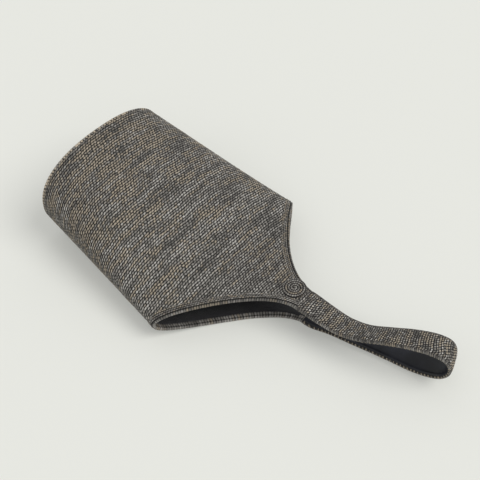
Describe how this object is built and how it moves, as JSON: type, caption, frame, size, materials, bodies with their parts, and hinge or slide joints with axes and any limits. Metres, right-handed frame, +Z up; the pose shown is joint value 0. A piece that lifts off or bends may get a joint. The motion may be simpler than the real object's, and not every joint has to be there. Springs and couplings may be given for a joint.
{
  "type": "raffia shoulder bag",
  "caption": "Woven raffia shoulder bag with a flat oval base and an open mouth that narrows into tongues joined by a looped strap, lying on its back.",
  "frame": {"origin": "on the flat of the back panel that the bag rests on, under the middle of the woven tube", "axes": "+Z up from the surface that the bag lies on, +Y towards the base, -Y towards the mouth and strap, X across the width"},
  "size_m": [0.267, 0.5341, 0.123],
  "materials": {
    "woven_raffia": "woven straw, matt with a faint sheen",
    "whipped_edge": "whipped straw edge",
    "lining_cloth": "plain woven cloth",
    "strap_facing": "smooth, slight sheen",
    "stiffener": "matt",
    "snap_metal": "dark nickel",
    "magnet": "plain"
  },
  "bodies": {
    "bag": {"woven_body": "woven_raffia", "woven_base": "woven_raffia", "base_board": "stiffener", "base_lining": "lining_cloth", "body_lining": "lining_cloth", "mouth_edge_right": "whipped_edge", "mouth_edge_left": "whipped_edge", "coiled_disc": "whipped_edge", "snap_washer_front": "snap_metal", "snap_washer_back": "snap_metal", "snap_case": "snap_metal", "snap_magnet": "magnet", "snap_stud": "snap_metal"},
    "strap": {"strap_weave": "woven_raffia", "strap_core": "stiffener", "strap_lining": "strap_facing", "strap_edge_right": "whipped_edge", "strap_edge_left": "whipped_edge", "strap_weave_root_front": "woven_raffia", "strap_lining_root_front": "strap_facing", "strap_weave_root_back": "woven_raffia", "strap_lining_root_back": "strap_facing"}
  },
  "joints": [
    {"name": "strap_lift", "type": "hinge", "parent": "bag", "child": "strap", "pos_m": [0.01, -0.2345, 0.0272], "axis": [-1, 0, 0], "range_deg": [0, 75], "deforming": ["strap_weave_root_front", "strap_lining_root_front", "strap_weave_root_back", "strap_lining_root_back"]}
  ]
}
